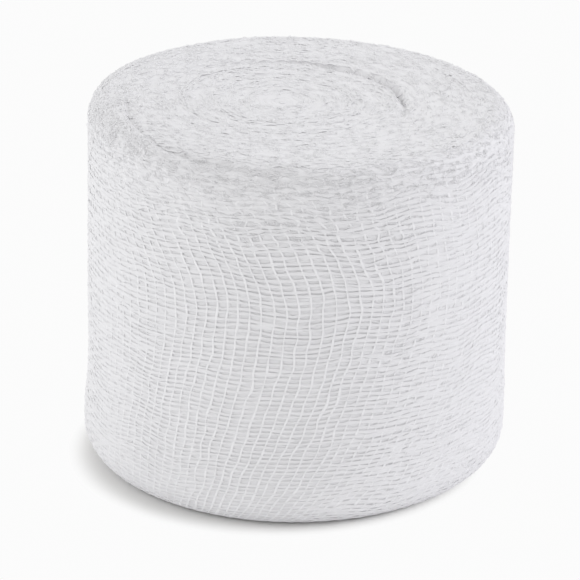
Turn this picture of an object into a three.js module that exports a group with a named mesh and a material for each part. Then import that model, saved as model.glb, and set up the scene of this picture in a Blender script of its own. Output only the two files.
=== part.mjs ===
// Boxing hand wrap roll: one long strip of open-weave cotton gauze, wound on itself without a core
// and stood on its end. Millimetres, +Z up, front towards -Y. The roll stands on the plane z = 0.
// Angles are in degrees about the roll's axis, from +X and anticlockwise from above, the way in
// which the strip winds outwards.

import * as THREE from "three";

// Driving dimensions
const STRIP_WIDTH = 50.8; // 2 inch gauze, which stands upright as the roll's height
const FOOT_RADIUS = 28.9;
const TOP_RADIUS = 28.95;
const LEAN = 0.87; // how far the turns have slid towards +X from foot to top
const TOP_TILT = 0.85; // the rim stands this much higher at -X, and lower at +X
const FOOT_ROUND = 4.05; // rounding where the side meets the flat foot
const LAP_STEP = 0.3; // thickness of the cut outer end, which lies flat on the turn below
const LAP_ANGLE = 112; // where that cut end lies, at the back
const DISH_DEPTH = 0.5; // the middle of the top lies lower than its rim
const SINK_REACH = 7; // how far inwards the sunken turns take to rise again
const FOLD_FREE = { from: 3, to: 8 }; // the radii between which the fold's sinking begins
const EYE = { x: -1.6, y: 0.6, radius: 2.6, depth: 0.7 }; // the dimple where the winding starts

// Resolution
const COLUMNS = 90;
const FOOT_ROWS = 6;
const SIDE_ROWS = 9;
const SHOULDER_ROWS = 6;
const INNER_RINGS = 8;
const OUTER_RINGS = 19;
const INNER_SHARE = 0.48; // the inner rings' share of the top's radius; the outer ones lie closer

// The shoulder's roundness around the rim: how far it reaches in across the top and down the side.
const SHOULDERS = [
  { deg: -180, across: 2.6, down: 3.4 },
  { deg: -90, across: 2.8, down: 2.9 },
  { deg: -35, across: 3.0, down: 3.3 },
  { deg: 25, across: 3.0, down: 3.7 },
  { deg: 65, across: 3.7, down: 2.1 },
  { deg: 110, across: 3.1, down: 3.0 },
];

// The one fold that winds outwards over the top: where it lies, the narrow gap between its turns,
// and how far the turns inside it have sunk.
const FOLD = [
  { deg: -32, radius: 14.8, gap: 0, width: 0.8, sink: 0 },
  { deg: -12, radius: 14.2, gap: 0.8, width: 0.8, sink: 0.4 },
  { deg: 10, radius: 14.0, gap: 1.3, width: 1.0, sink: 0.8 },
  { deg: 38, radius: 14.8, gap: 1.4, width: 1.0, sink: 0.9 },
  { deg: 62, radius: 15.2, gap: 0.8, width: 0.8, sink: 0.6 },
  { deg: 88, radius: 16.0, gap: 0.4, width: 0.7, sink: 0.4 },
  { deg: 140, radius: 18.6, gap: 0.2, width: 0.9, sink: 0.25 },
  { deg: 180, radius: 23.2, gap: 0.4, width: 0.9, sink: 0.35 },
  { deg: 200, radius: 24.6, gap: 0.6, width: 1.0, sink: 0.45 },
  { deg: 228, radius: 25.7, gap: 0.6, width: 1.0, sink: 0.4 },
  { deg: 255, radius: 26.4, gap: 0.25, width: 0.9, sink: 0.2 },
  { deg: 278, radius: 27.0, gap: 0, width: 0.8, sink: 0 },
];

// Soft bulges and hollows of the side: middle, spread and how far each stands out.
const BULGES = [
  { deg: 182, height: 5.5, spreadDeg: 40, spreadHeight: 5.5, out: 0.63 },
  { deg: 5, height: 6, spreadDeg: 45, spreadHeight: 6, out: 0.19 },
  { deg: 180, height: 26, spreadDeg: 55, spreadHeight: 12, out: 0.08 },
  { deg: -95, height: 20, spreadDeg: 55, spreadHeight: 18, out: -0.06 },
];

const radians = THREE.MathUtils.degToRad;
const wrapDegrees = (deg) => THREE.MathUtils.euclideanModulo(deg + 180, 360) - 180;

// A table's columns at an angle, eased between the rows on either side of it.
function readTable(rows, deg, period) {
  const first = rows[0].deg;
  const turned = first + THREE.MathUtils.euclideanModulo(deg - first, 360);
  const ends = period ? [...rows, { ...rows[0], deg: first + 360 }] : rows;
  const next = ends.findIndex((row) => row.deg > turned);
  if (next < 0) return ends[ends.length - 1];
  const a = ends[next - 1];
  const b = ends[next];
  const t = THREE.MathUtils.smoothstep(turned, a.deg, b.deg);
  const eased = {};
  for (const column of Object.keys(a)) eased[column] = THREE.MathUtils.lerp(a[column], b[column], t);
  return eased;
}

// How far the side stands out at an angle and height: its bulges, and the step of the outer end.
function sideOffset(deg, height) {
  let out = 0;
  for (const bulge of BULGES) {
    const around = wrapDegrees(deg - bulge.deg) / bulge.spreadDeg;
    const up = (height - bulge.height) / bulge.spreadHeight;
    out += bulge.out * Math.exp(-around * around - up * up);
  }
  const turnsBehind = THREE.MathUtils.euclideanModulo(LAP_ANGLE - deg, 360) / 360;
  return out - LAP_STEP * turnsBehind;
}

// The top's height above or below the rim at a point: dish, fold and eye.
function topRelief(radius, deg, x, y, rimRadius) {
  const inwards = 1 - THREE.MathUtils.smoothstep(radius, 0, rimRadius);
  const fold = readTable(FOLD, deg, false);
  const past = (radius - fold.radius) / fold.width;
  const inside = 0.5 * (1 - Math.tanh(2 * past));
  const reach = THREE.MathUtils.smoothstep(radius, FOLD_FREE.from, FOLD_FREE.to);
  const risen = reach * Math.exp(Math.min(radius - fold.radius, 0) / SINK_REACH);
  const eyeDistance = Math.hypot(x - EYE.x, y - EYE.y) / EYE.radius;
  return (
    -DISH_DEPTH * inwards -
    fold.gap * Math.exp(-past * past) -
    fold.sink * inside * risen -
    EYE.depth * Math.exp(-eyeDistance * eyeDistance)
  );
}

// The rows of the section, from the middle of the foot, up the side and over to the middle of the
// top. Each row says how a point of it is found at an angle.
function sectionRows() {
  const rows = [{ part: "foot", t: 0 }];
  for (let i = 0; i <= FOOT_ROWS; i++) rows.push({ part: "footRound", t: i / FOOT_ROWS });
  for (let i = 1; i < SIDE_ROWS; i++) rows.push({ part: "side", t: i / SIDE_ROWS });
  for (let i = 0; i <= SHOULDER_ROWS; i++) rows.push({ part: "shoulder", t: i / SHOULDER_ROWS });
  for (let i = 1; i <= OUTER_RINGS; i++) {
    rows.push({ part: "top", t: THREE.MathUtils.lerp(1, INNER_SHARE, i / OUTER_RINGS) });
  }
  for (let i = INNER_RINGS - 1; i >= 0; i--) {
    rows.push({ part: "top", t: (INNER_SHARE * i) / INNER_RINGS });
  }
  return rows;
}

// Radius and height of one row of the section at an angle, before the roll leans.
function sectionPoint(row, deg) {
  const shoulder = readTable(SHOULDERS, deg, true);
  const rimHeight = STRIP_WIDTH - TOP_TILT * Math.cos(radians(deg));
  const footRadius = FOOT_RADIUS + sideOffset(deg, 0);
  const topRadius = TOP_RADIUS + sideOffset(deg, rimHeight);
  const rimRadius = topRadius - shoulder.across;
  const quarter = (Math.PI / 2) * row.t;
  if (row.part === "foot") return { radius: 0, height: 0 };
  if (row.part === "footRound") {
    const height = FOOT_ROUND * (1 - Math.cos(quarter));
    const bulge = sideOffset(deg, height) - sideOffset(deg, 0);
    return { radius: footRadius + bulge * row.t - FOOT_ROUND * (1 - Math.sin(quarter)), height };
  }
  if (row.part === "side") {
    const height = THREE.MathUtils.lerp(FOOT_ROUND, rimHeight - shoulder.down, row.t);
    const plain = THREE.MathUtils.lerp(FOOT_RADIUS, TOP_RADIUS, row.t);
    return { radius: plain + sideOffset(deg, height), height };
  }
  if (row.part === "shoulder") {
    return {
      radius: topRadius - shoulder.across * (1 - Math.cos(quarter)),
      height: rimHeight - shoulder.down * (1 - Math.sin(quarter)),
    };
  }
  const radius = rimRadius * row.t;
  const x = radius * Math.cos(radians(deg));
  const y = radius * Math.sin(radians(deg));
  const tilted = STRIP_WIDTH - (TOP_TILT * x) / rimRadius;
  return { radius, height: tilted + topRelief(radius, deg, x, y, rimRadius) };
}

// The wound roll: a lathed section whose rows are then moved to the roll's own uneven form.
function woundRoll() {
  const rows = sectionRows();
  const plainSection = rows.map((row) => {
    const point = sectionPoint(row, LAP_ANGLE);
    return new THREE.Vector2(point.radius, point.height);
  });
  const roll = new THREE.LatheGeometry(plainSection, COLUMNS);
  const position = roll.attributes.position;
  for (let column = 0; column <= COLUMNS; column++) {
    const deg = (360 * (column % COLUMNS)) / COLUMNS;
    for (let i = 0; i < rows.length; i++) {
      const { radius, height } = sectionPoint(rows[i], deg);
      const slid = LEAN * (height / STRIP_WIDTH - 0.5);
      const x = radius * Math.cos(radians(deg)) + slid;
      const y = radius * Math.sin(radians(deg));
      position.setXYZ(column * rows.length + i, x, y, height);
    }
  }
  roll.computeVertexNormals();
  roll.computeBoundingBox();
  const middle = roll.boundingBox.getCenter(new THREE.Vector3());
  roll.translate(-middle.x, -middle.y, -roll.boundingBox.min.z);
  return roll;
}

const gauze = new THREE.MeshStandardMaterial({ color: 0xe4e4e7, roughness: 0.95, metalness: 0 });
const roll = new THREE.Mesh(woundRoll(), gauze);
roll.name = "gauze_roll";

const handWrapRoll = new THREE.Group();
handWrapRoll.add(roll);

export default handWrapRoll;
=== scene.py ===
import math

import bpy
import numpy as np
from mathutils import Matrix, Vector


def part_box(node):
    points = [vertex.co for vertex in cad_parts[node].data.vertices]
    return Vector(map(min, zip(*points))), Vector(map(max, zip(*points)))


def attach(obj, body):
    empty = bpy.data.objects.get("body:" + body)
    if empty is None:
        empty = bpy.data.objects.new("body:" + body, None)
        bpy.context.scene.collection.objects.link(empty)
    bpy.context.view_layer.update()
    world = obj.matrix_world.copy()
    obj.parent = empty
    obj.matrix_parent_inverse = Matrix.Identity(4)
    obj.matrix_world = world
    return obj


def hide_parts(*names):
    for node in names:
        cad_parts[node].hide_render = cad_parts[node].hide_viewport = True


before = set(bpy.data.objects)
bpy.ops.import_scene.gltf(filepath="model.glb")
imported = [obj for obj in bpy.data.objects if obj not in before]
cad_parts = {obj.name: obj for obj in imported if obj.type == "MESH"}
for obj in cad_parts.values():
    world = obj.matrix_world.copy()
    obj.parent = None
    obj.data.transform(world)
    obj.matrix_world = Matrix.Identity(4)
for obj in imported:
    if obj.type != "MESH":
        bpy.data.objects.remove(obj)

bpy.ops.object.select_all(action="DESELECT")

# A boxing hand wrap roll: one strip of open cotton gauze wound on itself and stood on its end.
# Sizes here are in millimetres and degrees, and MM turns them into the scene's metres. Angles go
# anticlockwise from +X, seen from above, which is the way the strip winds outwards. A place on
# the roll's skin is an angle and a distance "up": up the section from the flat foot's edge, over
# the foot's rounding, the side and the shoulder, and in over the top to the middle. "Front" is an
# angle from -Y, which is straight ahead, with the roll's right side positive.

NODE = "gauze_roll"
MM = 0.001
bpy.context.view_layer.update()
low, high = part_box(NODE)

# The roll's form: the part's own, but for the foot's rounding at the front, the fold and the eye.
STRIP_WIDTH = 50.8
FOOT_RADIUS = 28.9
TOP_RADIUS = 28.95
LEAN = 0.87  # how far the turns have slid towards +X from foot to top
TOP_TILT = 0.85  # the rim stands this much higher at -X, and lower at +X
FOOT_ROUND = 4.05
FRONT_ROUND = 3.1  # the foot's rounding straight ahead
FRONT_SPREAD = 75  # the front angle at which it has eased back to FOOT_ROUND
LAP_STEP = 0.3  # thickness of the cut outer end, which lies flat on the turn below
LAP_ANGLE = 112
DISH_DEPTH = 0.5
SINK_REACH = 7  # how far inwards the sunken turns take to rise again
FOLD_FREE = (3, 8)  # the radii between which the fold's sinking begins
EYE = dict(x=-1.6, y=0.6, radius=3.0, depth=0.4)  # the dimple where the winding starts
INSIDE_RIM = 56  # up the section: a little way in over the top, at every angle
NORMAL_STEP = dict(deg=0.4, up=0.15)  # how far to either side the skin is felt for its normal

# The strip's weave.
WARPS = 77  # yarns along the strip, from edge to edge
WEFTS_A_TURN = 114
WEFT_PITCH = 1.6
STRIP_FROM = 0.6  # up the section: where the strip's lower edge lies
STRIP_TO = 50.9  # and its upper edge
SKIN_DEPTH = 0.10  # the outer turn's middle lies this far inside the roll's form
TURN_DEPTH = 0.09  # from one turn of the strip to the turn below it
UNDER_ALONG = 0.5  # where the cloth is shut, the under turn is moved by this share of a weft's pitch
UNDER_UP = 0.35  # and by this much up the strip
EDGE_HOLD = 3  # towards the strip's edges the yarns stop drifting up and down over this length
ROUGHNESS = 0.01  # how unevenly a yarn stands out of the cloth
SHOULDER_SINK = 0.02  # the strip lies this much deeper where it turns in over the shoulder

WARP_WIDTH = 0.56  # as a share of the warps' spacing
WARP_SLIMMER = 0.05  # how much less it is between the open windows higher up
WARP_THICKNESS = 0.18
SHUT_LIFT = (0.02, -0.01)  # of the warps where the cloth is shut: the outer turn's, the under turn's
CRIMP_PULLED = 0.4  # the share of the hidden zone's crimp that is lost where the cloth is pulled flat

WEFT_WIDTH = 0.265
WEFT_THICKNESS = 0.09
WEFT_CRIMP = 0.012
WEFT_PROUD = 0.06  # the wefts lie this much further out than the warps
WEFT_HIDDEN = 0.07  # but sink by this much where the warps cover them
WEFT_PULLED = 0.035  # and rise by this much where the cloth is pulled flat
WEFT_WAVES = dict(length=5.3, size=0.05)
WEFT_TANGLE = dict(length=2.2, size=0.22)

# Sizes that change over the roll: the plain size, and what each zone of the cloth adds to it.
WARP_CRIMP = dict(plain=0.02, hidden=0.04, tangled=0.02)  # how far a warp swings in and out
WARP_WAVES = dict(plain=0.055, shut=0.02, tangled=0.08, unruly=0.02)
WARP_WAVE_LENGTH = 2.3  # in points along the yarn, like the lengths of the wefts' waves above
WARP_SWAY = dict(plain=0.04, unruly=0.06)
WARP_SWAY_LENGTH = 14
WARP_WIDER = dict(plain=0, shut=0.05, tangled=0.04, pulled=0.12, turned_away=0.07)
AT_A_WEFT = dict(plain=1.2, hidden=0.22, shut=-0.12)
BETWEEN_WEFTS = dict(plain=0.84, hidden=-0.1, shut=0.1)
BODY_DEPTH = dict(plain=0.205, pulled=-0.09, open=-0.02, behind=0.038, high=0.005, low=-0.05)
BODY_LEAST = 0.10
BODY_SHOULDER = 0.13
BODY_TOP = 0.145
BODY_FOOT = 0.3  # the body's foot stays this far above the floor

# Where the zones lie, as front angles or distances up the section, and over how much they ease in.
OPEN_FROM = dict(start=-66, over=46)
OPEN_TO = dict(end=37, over=28)
PULLED = dict(right=22, left=40, over=22)
TANGLED = dict(start=37.5, over=8)
TANGLED_LEAST = 0.4  # the share of the tangle that stays where the cloth is shut
HIDDEN_HIGH = dict(start=38, over=7)
HIDDEN_FOOT = dict(end=9, over=6)
HIDDEN_FOOT_SHARE = 0.2
HIDDEN_LEFT = dict(end=20, over=12)
HIDDEN_LEFT_FRONT = dict(end=-10, over=22)
HIDDEN_LEFT_SHARE = 0.9
UNRULY = dict(start=22, over=8)
SLIM = dict(start=24, over=8)
TURNED_AWAY = dict(start=60, over=15)
SHOULDER_TURN = dict(start=45, over=4)
BEHIND_UP = dict(start=22, over=8)
BEHIND_FRONT = dict(end=32, over=25)
BODY_HIGH = dict(start=36, over=4)
BODY_LOW = dict(end=12, over=8)
BODY_SIDE = dict(end=48.5, over=6)

# The strip's edge, as it shows wound over the top.
WINDING_EYE = (-2.8, 0.2)  # how far the middle of the turns lies from the roll's, in x and y
EDGE_WIDTH = 0.31
EDGE_THICKNESS = 0.22
EDGE_DEPTH = 0.10
CREASE_REACH = 2.5  # how far inwards the sunken side of the crease takes to rise again

# The floor: its tones, and the ring round the roll over which the shadow gives way to white. The
# ring's middle lies a little to the left of the roll's and in front of it.
BACKGROUND = 0.97
FLOOR_LIT = (0.98, 0.98, 0.98, 1)
# The floor as the camera sees it near the roll is darker and a little warmer than the tone it lights the
# roll with: painted shade that deepens and warms the roll's shadow.
FLOOR_SEEN_SHADE = (0.875, 0.869, 0.852, 1)
FLOOR_SIZE = 6  # metres
FLOOR_GAP = 0.02
SHADOW_LEAN = (2.6, 1.8)
SHADOW_FROM = 25.3
SHADOW_TO = 29.2

# The studio's light and camera, in metres, watts and degrees; lens and sensor are in millimetres.
# The camera looks a little to the left of its target and below it.
AROUND = dict(colour=(0.997, 0.998, 1.0, 1), strength=0.753)
LAMP_AIM = (0, 0, 0.025)
LAMPS = [
    dict(name="left_light", place=(-0.60, -0.04, 0.20), power=0.80, size=0.5, colour=(0.965, 0.975, 1.0)),
    dict(name="right_light", place=(0.60, -0.04, 0.20), power=0.65, size=0.5, colour=(0.86, 0.85, 1.0)),
    dict(name="key_light", place=(0.25, 0.15, 0.60), power=0.575, size=0.20, colour=(0.97, 0.98, 1.0)),
]
CAMERA = dict(rise=21.554, distance=0.5074, target=0.0254, lens=229.3, sensor=36)
AIM_LEFT = 0.000835
AIM_DOWN = 0.002435


def table(columns, *rows):
    return {name: np.array(column, float) for name, column in zip(columns.split(), zip(*rows))}


# The shoulder's roundness around the rim: how far it reaches in across the top and down the side.
SHOULDERS = table(
    "deg across down",
    (-180, 2.6, 3.4),
    (-90, 2.8, 2.9),
    (-35, 3.0, 3.3),
    (25, 3.0, 3.7),
    (65, 3.7, 2.1),
    (110, 3.1, 3.0),
)

# The fold that winds outwards over the top: where it lies, its gap, and how far the turns inside
# it have sunk.
FOLD = table(
    "deg radius gap width sink",
    (-32, 14.8, 0, 0.35, 0),
    (-12, 14.2, 0.4, 0.4, 0.2),
    (10, 14.0, 0.9, 0.45, 0.35),
    (38, 14.8, 1.3, 0.45, 0.45),
    (62, 15.2, 1.3, 0.42, 0.4),
    (95, 16.2, 0.8, 0.4, 0.25),
    (120, 17.2, 0.4, 0.4, 0.2),
    (150, 19.8, 0, 0.4, 0.2),
    (170, 22.0, 0, 0.5, 0.2),
    (206, 24.9, 0, 0.5, 0.1),
    (228, 25.7, 0, 0.5, 0),
    (292, 27.3, 0, 0.4, 0),
)

# Where the same fold runs out over the shoulder at the left: how far in from the top's start it
# lies, its gap, and how far the turns inside it have sunk.
CREASE = table(
    "deg inside gap width sink",
    (172, 3.6, 0, 0.3, 0),
    (190, 2.4, 0.3, 0.36, 0.15),
    (206, 1.3, 0.5, 0.42, 0.3),
    (218, 0.0, 0.5, 0.44, 0.35),
    (230, -1.4, 0.5, 0.44, 0.3),
    (242, -1.95, 0.55, 0.4, 0.2),
    (252, -2.35, 0.35, 0.45, 0.1),
    (265, -2.7, 0.2, 0.5, 0),
    (282, -3.0, 0, 0.5, 0),
)

# Soft bulges and hollows of the side: middle, spread and how far each stands out.
BULGES = table(
    "deg height spread_deg spread_height out",
    (182, 5.5, 40, 5.5, 0.63),
    (5, 6, 45, 6, 0.19),
    (180, 26, 55, 12, 0.08),
    (-95, 20, 55, 18, -0.06),
)

# How far the wefts lean along the side, in millimetres of arc, by their height on the strip.
WEFT_LEAN = table(
    "up arc",
    (0, -10.8),
    (3.5, -8.4),
    (7, -6.5),
    (14, -4.2),
    (21, -2.0),
    (25, -0.9),
    (29, -0.2),
    (32.5, 0.1),
    (35, -0.1),
    (37, -0.6),
    (39, -1.4),
    (42, -2.7),
    (46, -4.2),
    (52, -5.8),
)

# The warps' spacing by their height on the strip: packed closer towards the foot.
WARP_SPACING = table(
    "up pitch",
    (0, 0.56),
    (8, 0.58),
    (13, 0.61),
    (20, 0.65),
    (27, 0.71),
    (34.5, 0.77),
    (40, 0.73),
    (45, 0.64),
    (52, 0.60),
)

# How much the wefts fan out, by their height on the strip: drawn together at the front of the foot.
WEFT_FAN = table(
    "up stretch",
    (0, -0.32),
    (4, -0.26),
    (7, -0.20),
    (13, -0.12),
    (20, -0.06),
    (27, -0.03),
    (34.5, 0),
    (43, 0.06),
    (52, 0.10),
)


# ---------------------------------------------------------------- the roll's form


def smooth(t):
    t = np.clip(t, 0, 1)
    return t * t * (3 - 2 * t)


def rising(value, start, over):
    """0 up to the start, and easing to 1 over the given length after it."""
    return smooth((value - start) / over)


def falling(value, end, over):
    """0 past the end, and easing to 1 over the given length before it."""
    return smooth((end - value) / over)


def read_around(rows, deg, closed):
    """The table's columns at each angle, eased between its rows."""
    stops = {name: np.append(column, column[0]) if closed else column for name, column in rows.items()}
    angles = stops["deg"].copy()
    if closed:
        angles[-1] += 360
    turned = angles[0] + (deg - angles[0]) % 360
    i = np.clip(np.searchsorted(angles, turned, side="right") - 1, 0, len(angles) - 2)
    t = smooth((turned - angles[i]) / (angles[i + 1] - angles[i]))
    return {name: c[i] + (c[i + 1] - c[i]) * t for name, c in stops.items() if name != "deg"}


def wrapped(deg):
    return (deg + 180) % 360 - 180


def from_front(deg):
    return wrapped(deg + 90)


def side_offset(deg, height):
    """How far the side stands out: its bulges, and the step of the strip's outer end."""
    out = -LAP_STEP * ((LAP_ANGLE - deg) % 360) / 360
    for mid, level, spread, reach, size in zip(*BULGES.values()):
        out = out + size * np.exp(-((wrapped(deg - mid) / spread) ** 2) - ((height - level) / reach) ** 2)
    return out


def groove(past, gap, sink, kept):
    """A fold's depth: its narrow gap, and the turns that have sunk past it.

    Past is how far inside the fold's line a place lies, in the fold's widths. Kept is the share of
    the sinking that is left there.
    """
    return gap * np.exp(-past * past) + sink * 0.5 * (1 + np.tanh(2 * past)) * kept


def top_relief(radius, deg, x, y, rim_radius):
    """The top's height above or below the rim: dish, fold and eye."""
    fold = read_around(FOLD, deg, False)
    past = (fold["radius"] - radius) / fold["width"]
    reach = smooth((radius - FOLD_FREE[0]) / (FOLD_FREE[1] - FOLD_FREE[0]))
    kept = reach * np.exp(np.minimum(radius - fold["radius"], 0) / SINK_REACH)
    eye = ((x - EYE["x"]) ** 2 + (y - EYE["y"]) ** 2) / EYE["radius"] ** 2
    return (
        -DISH_DEPTH * (1 - smooth(radius / rim_radius))
        - groove(past, fold["gap"], fold["sink"], kept)
        - EYE["depth"] * np.exp(-eye)
    )


def section_at(deg):
    """The section at each angle: its roundings and rim, and how far up it each stretch of it ends."""
    shoulder = read_around(SHOULDERS, deg, True)
    rim = STRIP_WIDTH - TOP_TILT * np.cos(np.radians(deg))
    rim_radius = TOP_RADIUS + side_offset(deg, rim) - shoulder["across"]
    ahead = falling(np.abs(from_front(deg)), FRONT_SPREAD, FRONT_SPREAD)
    foot = FOOT_ROUND + (FRONT_ROUND - FOOT_ROUND) * ahead
    foot_arc = foot * math.pi / 2
    side_end = foot_arc + rim - shoulder["down"] - foot
    top_start = side_end + (shoulder["across"] + shoulder["down"]) / 2 * math.pi / 2
    return dict(
        shoulder, rim=rim, rim_radius=rim_radius, foot=foot, foot_arc=foot_arc, side_end=side_end,
        top_start=top_start, middle=top_start + rim_radius,
    )


def skin(deg, up):
    """The point of the roll's skin at each angle and distance up the section."""
    deg, up = np.broadcast_arrays(np.asarray(deg, float), np.asarray(up, float))
    cut = section_at(deg)
    quarter = np.clip(up / cut["foot_arc"], 0, 1) * math.pi / 2
    foot_height = cut["foot"] * (1 - np.cos(quarter))
    foot_radius = (
        FOOT_RADIUS
        + side_offset(deg, 0)
        + (side_offset(deg, foot_height) - side_offset(deg, 0)) * quarter / (math.pi / 2)
        - cut["foot"] * (1 - np.sin(quarter))
        + np.minimum(up, 0)
    )
    side_share = np.clip((up - cut["foot_arc"]) / (cut["side_end"] - cut["foot_arc"]), 0, 1)
    side_height = cut["foot"] + (cut["rim"] - cut["down"] - cut["foot"]) * side_share
    side_radius = FOOT_RADIUS + (TOP_RADIUS - FOOT_RADIUS) * side_share + side_offset(deg, side_height)
    turn = np.clip((up - cut["side_end"]) / (cut["top_start"] - cut["side_end"]), 0, 1) * math.pi / 2
    shoulder_radius = cut["rim_radius"] + cut["across"] * np.cos(turn)
    shoulder_height = cut["rim"] - cut["down"] * (1 - np.sin(turn))
    top_radius = np.maximum(cut["middle"] - up, 0)
    x, y = top_radius * np.cos(np.radians(deg)), top_radius * np.sin(np.radians(deg))
    top_height = (
        STRIP_WIDTH
        - TOP_TILT * x / cut["rim_radius"]
        + top_relief(top_radius, deg, x, y, cut["rim_radius"])
    )
    parts = [up < cut["foot_arc"], up < cut["side_end"], up < cut["top_start"]]
    radius = np.select(parts, [foot_radius, side_radius, shoulder_radius], top_radius)
    height = np.select(parts, [foot_height, side_height, shoulder_height], top_height)
    slid = LEAN * (height / STRIP_WIDTH - 0.5)
    return np.stack(
        [radius * np.cos(np.radians(deg)) + slid, radius * np.sin(np.radians(deg)), height], -1
    )


def unit(v):
    return v / np.maximum(np.linalg.norm(v, axis=-1, keepdims=True), 1e-9)


def outward(deg, up):
    """The skin's normal from short steps along it, or straight up on the top, where the fold is steep."""
    around = skin(deg + NORMAL_STEP["deg"], up) - skin(deg - NORMAL_STEP["deg"], up)
    along = skin(deg, up + NORMAL_STEP["up"]) - skin(deg, up - NORMAL_STEP["up"])
    flat = smooth((up - section_at(deg)["top_start"]) / 2 + 0.5)[..., None]
    return unit(unit(np.cross(around, along)) * (1 - flat) + np.array([0.0, 0, 1]) * flat)


def centring():
    """What moves the form so that its box has the same middle as the part's."""
    deg = np.linspace(-180, 180, 361)[:, None]
    outline = skin(deg, np.linspace(0, INSIDE_RIM, 2 * INSIDE_RIM + 1)[None])
    middle = (outline.reshape(-1, 3).min(0) + outline.reshape(-1, 3).max(0)) / 2
    target = (np.array(low) + np.array(high)) / 2 / MM
    return np.array([target[0] - middle[0], target[1] - middle[1], low.z / MM])


CENTRING = centring()


def crease(deg, up):
    """How much deeper the yarns lie in the fold where it runs out over the shoulder."""
    line = read_around(CREASE, deg, False)
    past = (up - section_at(deg)["top_start"] - line["inside"]) / line["width"]
    kept = np.exp(-np.maximum(past * line["width"], 0) / CREASE_REACH)
    return groove(past, line["gap"], line["sink"], kept)


def on_skin(deg, up, depth):
    """The points this far below the skin, and the skin's normals there."""
    normal = outward(deg, up)
    return skin(deg, up) - (depth + crease(deg, up))[..., None] * normal, normal


# ---------------------------------------------------------------- unevenness


def ripple(seed, count, rounds, waves, size):
    """A smooth random field over the skin: a sum of waves that close round the roll."""
    rng = np.random.default_rng(seed)
    turns = np.round(rng.uniform(-rounds, rounds, count))
    rises = rng.uniform(-waves, waves, count)
    phases = rng.uniform(0, 2 * math.pi, count)
    heights = rng.uniform(0.5, 1, count)
    heights *= size / np.sqrt((heights**2).sum() / 2)

    def field(deg, up):
        deg, up = np.broadcast_arrays(np.asarray(deg, float), np.asarray(up, float))
        total = np.zeros(deg.shape)
        for turn, rise, phase, height in zip(turns, rises, phases, heights):
            total += height * np.sin(np.radians(turn * deg) + rise * up + phase)
        return total

    return field


def wander(rng, shape, length):
    """Smooth random rows: one value every few columns, eased between."""
    rows, columns = shape
    knots = rng.normal(0, 1, (rows, int(columns / length) + 3))
    place = np.arange(columns) / length
    i = place.astype(int)
    t = smooth(place - i)
    return knots[:, i] * (1 - t) + knots[:, i + 1] * t


def uneven(rng, shape, size, length, thinnest=0.6):
    """How wide each yarn is along its length, as a share of its usual width."""
    return (1 + size * wander(rng, shape, length)).clip(thinnest, 1.5)


# ---------------------------------------------------------------- meshes


def mesh_piece(name, verts, quads, uvs, ends=()):
    """A joined mesh from arrays: four-sided faces, the caps at the yarns' ends and a map."""
    faces = [quads.reshape(-1, 4)] + [np.asarray(e) for e in ends if len(e)]
    verts = np.maximum(verts, (-np.inf, -np.inf, 0))  # what touches the floor lies flat on it
    corners = np.concatenate([f.ravel() for f in faces]).astype(np.int32)
    counts = np.concatenate([np.full(len(f), f.shape[1]) for f in faces]).astype(np.int32)
    mesh = bpy.data.meshes.new(name)
    mesh.vertices.add(len(verts))
    mesh.vertices.foreach_set("co", ((verts + CENTRING) * MM).astype(np.float32).ravel())
    mesh.loops.add(len(corners))
    mesh.loops.foreach_set("vertex_index", corners)
    mesh.polygons.add(len(counts))
    starts = np.concatenate([[0], np.cumsum(counts)[:-1]]).astype(np.int32)
    mesh.polygons.foreach_set("loop_start", starts)
    mesh.polygons.foreach_set("use_smooth", np.arange(len(counts)) < len(faces[0]))
    layer = mesh.uv_layers.new(name="OFBake")
    layer.uv.foreach_set("vector", uvs.astype(np.float32).ravel())
    mesh.update(calc_edges=True)
    mesh.validate()
    piece = bpy.data.objects.new(name, mesh)
    bpy.context.scene.collection.objects.link(piece)
    return piece


def corner_map(*corners):
    """The map of a grid of faces, from where each face's four corners lie."""
    return np.stack([np.stack(corner, -1) for corner in corners], -2).reshape(-1, 2)


def keep_sides_sharp(mesh, sides):
    """Each yarn's two long side edges stay sharp, so that it reads as a flat, soft strand."""
    ends = np.empty(len(mesh.edges) * 2, np.int32)
    mesh.edges.foreach_get("vertices", ends)
    ring = ends.reshape(-1, 2) % sides
    sharp = (ring[:, 0] == ring[:, 1]) & ((ring[:, 0] == 1) | (ring[:, 0] == sides - 1))
    mesh.attributes.new("sharp_edge", "BOOLEAN", "EDGE").data.foreach_set("value", sharp)


def yarn_map(count, steps, sides):
    """The map lays each yarn out as a strip of its own, one above the other, with gaps between them."""
    gap, used = 0.1, 0.8
    along = np.arange(steps) / (steps - 1)
    u0 = np.broadcast_to(along[:-1, None], (count, steps - 1, sides))
    u1 = np.broadcast_to(along[1:, None], (count, steps - 1, sides))
    row = np.arange(count)[:, None, None]
    v0 = np.broadcast_to((row + gap + used * np.arange(sides) / sides) / count, u0.shape)
    v1 = v0 + used / sides / count
    walls = corner_map((u0, v0), (u0, v1), (u1, v1), (u1, v0))
    rim = v0[:, 0, :]
    first = np.stack([np.zeros(rim.shape), rim], -1)[:, ::-1]
    last = np.stack([np.ones(rim.shape), rim], -1)
    return np.concatenate([walls, first.reshape(-1, 2), last.reshape(-1, 2)])


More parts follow.
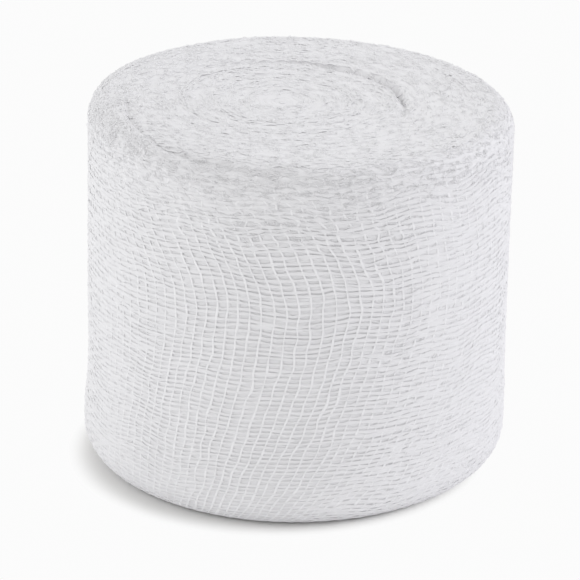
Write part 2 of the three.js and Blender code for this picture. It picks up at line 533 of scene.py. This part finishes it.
def spin_yarns(name, middles, normals, width, thickness, sides):
    """Yarns with an oval section, each from a row of middles and the normals of the cloth it lies in."""
    count, steps = middles.shape[:2]
    ahead = unit(np.gradient(middles, axis=1))
    across = unit(np.cross(normals, ahead))
    out = np.cross(ahead, across)
    turn = 2 * math.pi * np.arange(sides) / sides + math.pi / 2
    wide = (np.broadcast_to(width, (count, steps)) / 2)[..., None, None] * across[:, :, None]
    thick = (np.broadcast_to(thickness, (count, steps)) / 2)[..., None, None] * out[:, :, None]
    rings = middles[:, :, None] + wide * np.cos(turn)[:, None] + thick * np.sin(turn)[:, None]
    index = np.arange(count * steps * sides).reshape(count, steps, sides)
    after = np.roll(index, -1, axis=2)
    quads = np.stack([index[:, :-1], after[:, :-1], after[:, 1:], index[:, 1:]], -1)
    caps = [index[:, 0, ::-1], index[:, -1, :]]
    piece = mesh_piece(name, rings.reshape(-1, 3), quads, yarn_map(count, steps, sides), caps)
    keep_sides_sharp(piece.data, sides)
    return piece


# ---------------------------------------------------------------- the zones of the cloth


def openness(deg):
    """1 where the outer turns lie in step and their windows show, 0 where each covers the other's."""
    front = from_front(deg)
    return rising(front, **OPEN_FROM) * falling(front, **OPEN_TO)


def edge_on(deg):
    """1 at the roll's left and right, where the cloth is pulled flat and smooth."""
    front = from_front(deg)
    return rising(np.abs(front), np.where(front > 0, PULLED["right"], PULLED["left"]), PULLED["over"])


def tangle(deg, up):
    """How far the open weave is pushed out of order, under the shoulder."""
    return (TANGLED_LEAST + (1 - TANGLED_LEAST) * openness(deg)) * rising(up, **TANGLED)


def covered(deg, up):
    """1 where the warps hide the wefts: round the sides, under the shoulder and, in part, at the foot."""
    foot = HIDDEN_FOOT_SHARE * falling(up, **HIDDEN_FOOT)
    left = HIDDEN_LEFT_SHARE * falling(up, **HIDDEN_LEFT) * falling(from_front(deg), **HIDDEN_LEFT_FRONT)
    sides = np.maximum(1 - openness(deg), rising(up, **HIDDEN_HIGH))
    return np.maximum(sides, np.maximum(foot, left))


def zoned(sizes, **zones):
    """A size at each place: the plain one, and what each zone adds to it there."""
    total = sizes["plain"]
    for name, share in zones.items():
        total = total + sizes[name] * share
    return total


# ---------------------------------------------------------------- the strip's outer turns


def weft_lean(deg, up):
    """How far along the side a weft stands from upright, fanned out from the front of the foot."""
    stretch = np.interp(up, WEFT_FAN["up"], WEFT_FAN["stretch"])
    fan = stretch * FOOT_RADIUS * np.sin(np.radians(deg + 90))
    return np.interp(up, WEFT_LEAN["up"], WEFT_LEAN["arc"]) + fan


def weave_drift(turn):
    """How far the weave is pushed along and up the strip, as one function for warps and wefts."""
    broad = ripple(seed=11, count=18, rounds=9, waves=0.35, size=0.18)
    snaking = ripple(seed=12, count=26, rounds=30, waves=1.9, size=0.085)
    sagging = ripple(seed=13, count=22, rounds=16, waves=0.30, size=0.20)
    own_along = ripple(seed=20 + turn, count=18, rounds=30, waves=0.9, size=0.09)
    own_up = ripple(seed=30 + turn, count=24, rounds=40, waves=1.6, size=0.11)

    def drift(deg, up):
        arc = weft_lean(deg, up) + broad(deg, up) + snaking(deg, up)
        rise = sagging(deg, up)
        if turn:
            shut = 1 - openness(deg)
            arc = arc + own_along(deg, up) + WEFT_PITCH * UNDER_ALONG * shut
            rise = rise + own_up(deg, up) + UNDER_UP * shut
        return arc, rise

    return drift


def warp_heights():
    """How far up the section the warps lie, and the wefts' points: one at each warp and one between."""
    fine = np.linspace(STRIP_FROM, STRIP_TO, 500)
    pitch = np.interp(fine[1:], WARP_SPACING["up"], WARP_SPACING["pitch"])
    count = np.concatenate([[0], np.cumsum(1 / pitch)])
    count *= (WARPS - 1) / count[-1]
    return np.interp(np.arange(WARPS), count, fine), np.interp(np.arange(2 * WARPS - 1) / 2, count, fine)


def over_and_under(crossing, point):
    """1 where a yarn passes over at a crossing and -1 where it passes under; 0 at the points between."""
    return np.where(point % 2 == 0, np.where(crossing % 2 == 0, 1.0, -1.0), 0.0)


def lay_on_roll(turn):
    """What lays this turn's yarns on the roll: points and normals for places on the strip."""
    drift = weave_drift(turn)
    depth = SKIN_DEPTH + TURN_DEPTH * turn

    def laid(deg, up, lift):
        arc, rise = drift(deg, up)
        free = rising(up, STRIP_FROM, EDGE_HOLD) * falling(up, STRIP_TO, EDGE_HOLD)
        lift = lift - SHOULDER_SINK * rising(up, **SHOULDER_TURN)
        return on_skin(deg + np.degrees(arc / FOOT_RADIUS), up + rise * free, depth - lift)

    return laid


def warps_of(turn, laid, rng, warp_up, sides):
    """The warps run round the roll, with a point at each weft and one between."""
    columns = np.arange(2 * WEFTS_A_TURN + 1)
    row, column = np.meshgrid(np.arange(WARPS), columns, indexing="ij")
    over = over_and_under(row + column // 2, column)
    deg = (LAP_ANGLE - 360 + columns * 360 / WEFTS_A_TURN / 2)[None]
    up = warp_up[:, None]
    shut = 1 - openness(deg)
    hidden = covered(deg, up)
    loose = tangle(deg, up)
    pulled = edge_on(deg)
    unruly = rising(up, **UNRULY)
    crimp = zoned(WARP_CRIMP, hidden=hidden * (1 - CRIMP_PULLED * pulled), tangled=loose)
    lift = crimp * over + rng.normal(0, ROUGHNESS, over.shape) + SHUT_LIFT[turn] * shut
    waves = wander(rng, over.shape, WARP_WAVE_LENGTH)
    waves = waves * zoned(WARP_WAVES, shut=shut, tangled=loose, unruly=unruly)
    stray = waves + wander(rng, over.shape, WARP_SWAY_LENGTH) * zoned(WARP_SWAY, unruly=unruly)
    middles, normals = laid(deg + 0 * stray, up + stray, lift)

    spread = WARP_WIDTH - WARP_SLIMMER * openness(deg) * rising(up, **SLIM)
    turned_away = rising(np.abs(from_front(deg)), **TURNED_AWAY)
    width = spread * np.gradient(warp_up)[:, None]
    width = width + zoned(WARP_WIDER, shut=shut, tangled=loose, pulled=pulled, turned_away=turned_away)
    # Each warp spreads flat at a weft and draws in between two, so that the windows are oval.
    below = hidden * (1 - shut)
    at_weft = zoned(AT_A_WEFT, hidden=below, shut=shut)
    between = zoned(BETWEEN_WEFTS, hidden=below, shut=shut)
    width = width * np.where(column % 2 == 0, at_weft, between)
    width = width * uneven(rng, over.shape, size=0.25, length=1.3)
    return spin_yarns(f"turn_{turn}_warps", middles, normals, width, WARP_THICKNESS, sides)


def wefts_of(turn, laid, rng, weft_up, sides):
    """The wefts run up the side, with a point at each warp and one between."""
    column, row = np.meshgrid(np.arange(WEFTS_A_TURN), np.arange(2 * WARPS - 1), indexing="ij")
    over = -over_and_under(row // 2 + column, row)
    deg = (LAP_ANGLE - 360 + np.arange(WEFTS_A_TURN) * 360 / WEFTS_A_TURN)[:, None]
    up = weft_up[None]
    sunk = WEFT_HIDDEN * covered(deg, up) - WEFT_PULLED * edge_on(deg)
    lift = WEFT_PROUD - sunk + WEFT_CRIMP * over + rng.normal(0, ROUGHNESS, over.shape)
    stray = wander(rng, over.shape, WEFT_WAVES["length"]) * WEFT_WAVES["size"]
    stray = stray + wander(rng, over.shape, WEFT_TANGLE["length"]) * WEFT_TANGLE["size"] * tangle(deg, up)
    middles, normals = laid(deg + np.degrees(stray) / FOOT_RADIUS, up + 0 * stray, lift)
    width = WEFT_WIDTH * uneven(rng, over.shape, size=0.2, length=4.1)
    return spin_yarns(f"turn_{turn}_wefts", middles, normals, width, WEFT_THICKNESS, sides)


def gauze_turn(turn, sides):
    """One turn of the strip round the roll, as its warps and its wefts."""
    rng = np.random.default_rng(100 + turn)
    laid = lay_on_roll(turn)
    warp_up, weft_up = warp_heights()
    return [warps_of(turn, laid, rng, warp_up, sides), wefts_of(turn, laid, rng, weft_up, sides)]


# ---------------------------------------------------------------- the edges of the inner turns


def off_centre(deg, up):
    """The turns' own centre lies left of the roll's: the place on the skin of a place among the turns."""
    middle = section_at(deg)["middle"]
    radius = np.maximum(middle - up, 0)
    pull = np.clip(1 - (radius / TOP_RADIUS) ** 2, 0, 1)
    x = radius * np.cos(np.radians(deg)) + WINDING_EYE[0] * pull
    y = radius * np.sin(np.radians(deg)) + WINDING_EYE[1] * pull
    turned = np.degrees(np.arctan2(y, x))
    return turned, section_at(turned)["middle"] - (np.hypot(x, y) + np.maximum(up - middle, 0))


def edge_spiral(name, pitch, step, reach, sides, swing, seed):
    """The strip's edge as it winds out over the top and down the shoulder, seen end on."""
    least_radius = 1.2  # nearer the middle than this, the steps turn by the same angle
    lift_wave, side_wave = 3.2, 3.7  # lengths of the swings up and down and from side to side
    calm = 8  # nearer the middle than this, the edge lies flatter
    rng = np.random.default_rng(seed)
    samples = [0.0]
    while samples[-1] < reach / pitch * 360:
        radius = max(min(pitch * samples[-1] / 360, FOOT_RADIUS), least_radius)
        samples.append(samples[-1] + math.degrees(step / radius))
    spun = np.array(samples)
    from_middle = pitch * spun / 360
    arc = np.cumsum(np.radians(np.diff(spun)) * np.minimum(from_middle[1:], FOOT_RADIUS))
    arc = np.concatenate([[0], arc])
    turn = (spun // 360).astype(int)
    share = spun / 360 - turn

    def from_turn_to_turn(values):
        return values[turn] * (1 - share) + values[turn + 1] * share

    one = (1, len(arc))
    phase = from_turn_to_turn(np.cumsum(rng.normal(0, 1.9, turn.max() + 2)))
    loose = wander(rng, one, 9 / step)[0]
    fine = wander(rng, one, 2)[0]
    taller = from_turn_to_turn(rng.normal(0, 1, turn.max() + 2))
    lift = np.sin(2 * math.pi * arc / lift_wave + phase) + 0.6 * loose + 0.6 * fine + 1.2 * taller
    lift *= swing * (0.5 + 0.5 * rising(from_middle, 0, calm))
    side = 0.05 * np.sin(2 * math.pi * arc / side_wave + 2 * phase) + 0.19 * wander(rng, one, 1.8)[0]
    side += 0.10 * wander(rng, one, 14 / step)[0]
    deg = wrapped(spun)
    deg, up = off_centre(deg, section_at(deg)["middle"] - from_middle + side)
    middles, normals = on_skin(deg, up, WARP_THICKNESS / 2 + EDGE_DEPTH - lift)
    width = EDGE_WIDTH * uneven(rng, one, size=0.2, length=2, thinnest=0.5)
    return spin_yarns(name, middles[None], normals[None], width, EDGE_THICKNESS, sides)


# ---------------------------------------------------------------- the fluff


def stray_yarns(name, count, seed, place, length, width, rise, spread, curl, lean=0):
    """Short curved bits of yarn and fluff lying on the cloth, most of them along the winding.

    Spread, curl and lean are in radians. Lean is how far the bits on the roll's right slant upwards.
    """
    steps, sides = 4, 3
    lean_over = 30  # the front angle at which they have their full lean
    least_radius = 1.5
    rest_depth, ends_sunk = 0.04, 0.06
    unlike = dict(length=0.35, rise=0.3, width=0.25)  # how much the bits differ from one another
    taper = 0.55  # the share of its width that a bit loses towards its ends
    roundness = 1.1  # its thickness as a share of its width
    rng = np.random.default_rng(seed)
    deg, up = place(rng, count)
    count = len(deg)
    along = np.linspace(-1, 1, steps)[None]
    half = length * np.exp(rng.normal(0, unlike["length"], (count, 1))) / 2
    slant = rng.normal(0, spread, (count, 1)) + lean * rising(from_front(deg), 0, lean_over)[:, None]
    bend = rng.normal(0, curl, (count, 1))
    course = slant + bend * along
    run = np.cumsum(np.cos(course), 1) * half * 2 / (steps - 1)
    climb = np.cumsum(np.sin(course), 1) * half * 2 / (steps - 1)
    run -= run.mean(1, keepdims=True)
    climb -= climb.mean(1, keepdims=True)
    radius = np.clip(section_at(deg)["middle"] - up, least_radius, FOOT_RADIUS)[:, None]
    deg = deg[:, None] + np.degrees(run / radius)
    up = up[:, None] + climb
    arch = rise * np.exp(rng.normal(0, unlike["rise"], (count, 1))) * (1 - along**2) - ends_sunk
    middles, normals = on_skin(deg, up, rest_depth - arch)
    wide = width * np.exp(rng.normal(0, unlike["width"], (count, 1))) * (1 - taper * along**2)
    return spin_yarns(name, middles, normals, wide, roundness * wide, sides)


def round_the_shoulder(rng, count):
    """Thickest where the side ends, and thinning out down the side and in over the top."""
    down, inwards = 9, 6
    deg = rng.uniform(-180, 180, count)
    return deg, section_at(deg)["side_end"] + rng.triangular(-down, 0, inwards, count)


def over_the_sides(rng, count):
    """Up and down the side, away from the open windows at the front."""
    lowest, highest = 1.5, 44
    left_out = 0.25
    deg = rng.uniform(-180, 180, 2 * count)
    shut = rng.uniform(0, 1, 2 * count) > left_out + openness(deg)
    deg = deg[shut][:count]
    return deg, rng.uniform(lowest, highest, len(deg))


def over_the_top(rng, count):
    """Even over the top's area, and thicker towards the rim and the shoulder."""
    beyond = 1.5  # with the foot's radius, about as far as from the middle to the shoulder's end
    outwards = 1.3
    off_middle = 0.002  # keeps the bits off the very middle
    radius = (FOOT_RADIUS + beyond) * np.sqrt(rng.uniform(off_middle, 1, count))
    radius = radius + np.abs(rng.normal(0, outwards, count))
    deg = rng.uniform(-180, 180, count)
    return off_centre(deg, section_at(deg)["middle"] - radius)


FLUFF = [
    dict(
        name="top_fluff", count=6600, seed=8, place=over_the_top,
        length=1.0, width=0.12, rise=0.12, spread=0.28, curl=1.3,
    ),
    dict(
        name="shoulder_fluff", count=4400, seed=9, place=round_the_shoulder,
        length=1.1, width=0.13, rise=0.05, spread=0.3, curl=1.1,
    ),
    dict(
        name="side_fluff", count=5200, seed=10, place=over_the_sides,
        length=0.7, width=0.12, rise=0.08, spread=0.25, curl=0.6, lean=0.4,
    ),
]


# ---------------------------------------------------------------- the wound body below


# The body's rows up the section: over the flat foot, its rounding, the side and the shoulder.
BODY_ROWS = [
    dict(start=-24, stop=0, num=7),
    dict(start=0, stop=8, num=13),
    dict(start=8, stop=46, num=26),
    dict(start=46, stop=INSIDE_RIM, num=26),
]
TOP_ROWS = 100


def body_depth(deg, up):
    """How far the body lies below the skin: less where the cloth is pulled flat, most behind the windows."""
    front = np.abs(from_front(deg))
    depth = zoned(
        BODY_DEPTH,
        pulled=edge_on(deg),
        open=openness(deg),
        behind=rising(up, **BEHIND_UP) * falling(front, **BEHIND_FRONT),
        high=rising(up, **BODY_HIGH),
        low=falling(up, **BODY_LOW),
    )
    depth = np.maximum(depth, BODY_LEAST)
    return BODY_SHOULDER + (depth - BODY_SHOULDER) * falling(up, **BODY_SIDE)


def wound_body(name, columns=220):
    """The inner turns as one closed form, a little inside the yarns that are laid over it."""
    hole = 0.3  # the radius of the last row, which the cap closes
    section = np.concatenate([np.linspace(**rows)[:-1] for rows in BODY_ROWS] + [[INSIDE_RIM]])
    deg = np.arange(columns) * 360 / columns
    rows = [on_skin(deg, np.full(columns, up), body_depth(deg, up))[0] for up in section]
    to_middle = section_at(deg)["middle"] - hole - INSIDE_RIM
    for share in np.linspace(0, 1, TOP_ROWS + 2)[1:-1]:
        rows.append(on_skin(deg, INSIDE_RIM + to_middle * share, np.full(columns, BODY_TOP))[0])
    grid = np.array(rows)
    grid[..., 2] = np.maximum(grid[..., 2], BODY_FOOT)
    count = len(grid)
    index = np.arange(count * columns).reshape(count, columns)
    after = np.roll(index, -1, axis=1)
    quads = np.stack([index[:-1], after[:-1], after[1:], index[1:]], -1)
    caps = [index[:1, ::-1], index[-1:]]
    u = np.arange(columns) / columns
    v = np.arange(count) / (count - 1)
    u0, v0 = np.meshgrid(u, v[:-1])
    u1 = u0 + 1 / columns
    v1 = np.broadcast_to(v[1:, None], v0.shape)
    walls = corner_map((u0, v0), (u1, v0), (u1, v1), (u0, v1))
    foot = np.stack([u[::-1], np.zeros(columns)], -1)
    top = np.stack([u, np.ones(columns)], -1)
    return mesh_piece(name, grid.reshape(-1, 3), quads, np.concatenate([walls, foot, top]), caps)


# ---------------------------------------------------------------- materials


def cotton(name, colour):
    """Matt cotton yarn: soft blotches of a slightly darker tone and a fine fibrous bump."""
    darker = 0.03
    material = bpy.data.materials.new(name)
    material.use_nodes = True
    nodes, links = material.node_tree.nodes, material.node_tree.links
    shader = nodes["Principled BSDF"]
    place = nodes.new("ShaderNodeTexCoord")
    blotch = nodes.new("ShaderNodeTexNoise")
    blotch.inputs["Scale"].default_value = 900
    blotch.inputs["Detail"].default_value = 3
    ramp = nodes.new("ShaderNodeValToRGB")
    ramp.color_ramp.elements[0].position = 0.3
    ramp.color_ramp.elements[0].color = (*(tone - darker for tone in colour), 1)
    ramp.color_ramp.elements[1].position = 0.7
    ramp.color_ramp.elements[1].color = (*colour, 1)
    fibre = nodes.new("ShaderNodeTexNoise")
    fibre.inputs["Scale"].default_value = 9000
    fibre.inputs["Detail"].default_value = 2
    bump = nodes.new("ShaderNodeBump")
    bump.inputs["Strength"].default_value = 0.35
    bump.inputs["Distance"].default_value = 0.00004
    links.new(place.outputs["Object"], blotch.inputs["Vector"])
    links.new(place.outputs["Object"], fibre.inputs["Vector"])
    links.new(blotch.outputs["Fac"], ramp.inputs["Fac"])
    links.new(ramp.outputs["Color"], shader.inputs["Base Color"])
    links.new(fibre.outputs["Fac"], bump.inputs["Height"])
    links.new(bump.outputs["Normal"], shader.inputs["Normal"])
    shader.inputs["Roughness"].default_value = 1.0
    shader.inputs["Specular IOR Level"].default_value = 0.2
    shader.inputs["Sheen Weight"].default_value = 0.1
    return material


def finish_piece(piece, material):
    piece.data.materials.append(material)
    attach(piece, "root")
    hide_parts(NODE)


# ---------------------------------------------------------------- stage


def seen_rays(nodes, links):
    """1 for the rays that see the white background: the camera's own, off gloss and through glass."""
    rays = nodes.new("ShaderNodeLightPath")
    total = rays.outputs["Is Camera Ray"]
    for kind in ("Is Glossy Ray", "Is Transmission Ray"):
        either = nodes.new("ShaderNodeMath")
        either.operation = "MAXIMUM"
        links.new(total, either.inputs[0])
        links.new(rays.outputs[kind], either.inputs[1])
        total = either.outputs[0]
    return total


def shadow_ring(nodes, links):
    """0 under and beside the roll, where its shadow lies, and easing to 1 further out."""
    place = nodes.new("ShaderNodeTexCoord")
    shift = nodes.new("ShaderNodeVectorMath")
    shift.operation = "ADD"
    shift.inputs[1].default_value = (SHADOW_LEAN[0] * MM, SHADOW_LEAN[1] * MM, 0)
    distance = nodes.new("ShaderNodeVectorMath")
    distance.operation = "LENGTH"
    away = nodes.new("ShaderNodeMapRange")
    away.interpolation_type = "SMOOTHSTEP"
    away.inputs["From Min"].default_value = SHADOW_FROM * MM
    away.inputs["From Max"].default_value = SHADOW_TO * MM
    links.new(place.outputs["Object"], shift.inputs[0])
    links.new(shift.outputs[0], distance.inputs[0])
    links.new(distance.outputs["Value"], away.inputs["Value"])
    return away.outputs["Result"]


def white_floor():
    """Pale and matt under the roll, where its shadow lies, and evenly white further out."""
    material = bpy.data.materials.new("white_floor")
    material.use_nodes = True
    nodes, links = material.node_tree.nodes, material.node_tree.links
    shader = nodes["Principled BSDF"]
    shader.inputs["Roughness"].default_value = 1
    shader.inputs["Specular IOR Level"].default_value = 0
    seen = seen_rays(nodes, links)
    tone = nodes.new("ShaderNodeMix")
    tone.data_type = "RGBA"
    # The camera sees the darker, warmer tone, painted shade in the roll's shadow, while the light that the
    # floor throws back uses the pale one.
    lit, looked_at = tone.inputs[6], tone.inputs[7]
    lit.default_value = FLOOR_LIT
    looked_at.default_value = FLOOR_SEEN_SHADE
    links.new(seen, tone.inputs[0])
    links.new(tone.outputs[2], shader.inputs["Base Color"])
    seen_away = nodes.new("ShaderNodeMath")
    seen_away.operation = "MULTIPLY"
    white = nodes.new("ShaderNodeEmission")
    white.inputs["Color"].default_value = (1, 1, 1, 1)
    white.inputs["Strength"].default_value = BACKGROUND
    mix = nodes.new("ShaderNodeMixShader")
    links.new(shadow_ring(nodes, links), seen_away.inputs[0])
    links.new(seen, seen_away.inputs[1])
    links.new(seen_away.outputs[0], mix.inputs["Fac"])
    links.new(shader.outputs[0], mix.inputs[1])
    links.new(white.outputs[0], mix.inputs[2])
    links.new(mix.outputs[0], nodes["Material Output"].inputs["Surface"])
    return material


def stage():
    """The white floor, and the light that comes from all around."""
    bpy.ops.mesh.primitive_plane_add(size=FLOOR_SIZE, location=(0, 0, low.z - FLOOR_GAP * MM))
    floor = bpy.context.object
    floor.name = "floor"
    floor.data.materials.append(white_floor())

    world = bpy.data.worlds.new("studio")
    bpy.context.scene.world = world
    world.use_nodes = True
    nodes, links = world.node_tree.nodes, world.node_tree.links
    nodes.clear()
    around = nodes.new("ShaderNodeBackground")
    around.inputs["Color"].default_value = AROUND["colour"]
    around.inputs["Strength"].default_value = AROUND["strength"]
    seen = nodes.new("ShaderNodeBackground")
    seen.inputs["Color"].default_value = (1, 1, 1, 1)
    seen.inputs["Strength"].default_value = BACKGROUND
    mix = nodes.new("ShaderNodeMixShader")
    out = nodes.new("ShaderNodeOutputWorld")
    links.new(seen_rays(nodes, links), mix.inputs["Fac"])
    links.new(around.outputs[0], mix.inputs[1])
    links.new(seen.outputs[0], mix.inputs[2])
    links.new(mix.outputs[0], out.inputs["Surface"])


def lamp(name, place, power, size, colour):
    data = bpy.data.lights.new(name, "AREA")
    data.shape = "RECTANGLE"
    data.size, data.size_y = size, size
    data.energy = power
    data.color = colour
    thing = bpy.data.objects.new(name, data)
    bpy.context.scene.collection.objects.link(thing)
    thing.location = place
    aim = Vector(LAMP_AIM) - Vector(place)
    thing.rotation_mode = "QUATERNION"
    thing.rotation_quaternion = aim.to_track_quat("-Z", "Y")


def camera():
    rise = math.radians(CAMERA["rise"])
    target = Vector((0, 0, CAMERA["target"]))
    ahead = Vector((0, math.cos(rise), -math.sin(rise)))
    above = Vector((0, math.sin(rise), math.cos(rise)))
    data = bpy.data.cameras.new("camera")
    data.lens, data.sensor_width = CAMERA["lens"], CAMERA["sensor"]
    data.clip_start, data.clip_end = 0.01, 20
    thing = bpy.data.objects.new("camera", data)
    bpy.context.scene.collection.objects.link(thing)
    thing.location = target - ahead * CAMERA["distance"]
    aim = target - Vector((AIM_LEFT, 0, 0)) - above * AIM_DOWN
    thing.rotation_mode = "QUATERNION"
    thing.rotation_quaternion = (aim - thing.location).to_track_quat("-Z", "Y")
    bpy.context.scene.camera = thing


# ---------------------------------------------------------------- the scene

camera()
stage()
for light in LAMPS:
    lamp(**light)
bpy.context.scene.view_settings.view_transform = "Standard"

# The cotton is one white. The second tone is painted shade on the yarns that lie below the outer wefts. The
# third, darker one is painted shade on the body seen through the windows and on the top's strands under the
# fluff.
outer_cotton = cotton("white_cotton", (0.943, 0.938, 0.948))
lower_yarns_shaded_cotton = cotton("lower_yarns_shaded_cotton", (0.888, 0.883, 0.893))
inner_shaded_cotton = cotton("inner_shaded_cotton", (0.868, 0.863, 0.873))
# The body takes the darkest tone, painted shade in the windows and gaps.
finish_piece(wound_body("inner_turns"), inner_shaded_cotton)
# The warps and the under turn's wefts take the second tone, painted shade; the outer wefts stay white.
for turn, sides in enumerate((4, 3)):
    warps, wefts = gauze_turn(turn, sides)
    finish_piece(warps, lower_yarns_shaded_cotton)
    finish_piece(wefts, lower_yarns_shaded_cotton if turn else outer_cotton)
# The top's strands also take the darkest tone, painted shade between and under the fluff.
edges = edge_spiral("top_edges", pitch=0.50, step=0.5, reach=30.6, sides=4, swing=0.06, seed=7)
finish_piece(edges, inner_shaded_cotton)
for bits in FLUFF:
    finish_piece(stray_yarns(**bits), outer_cotton)
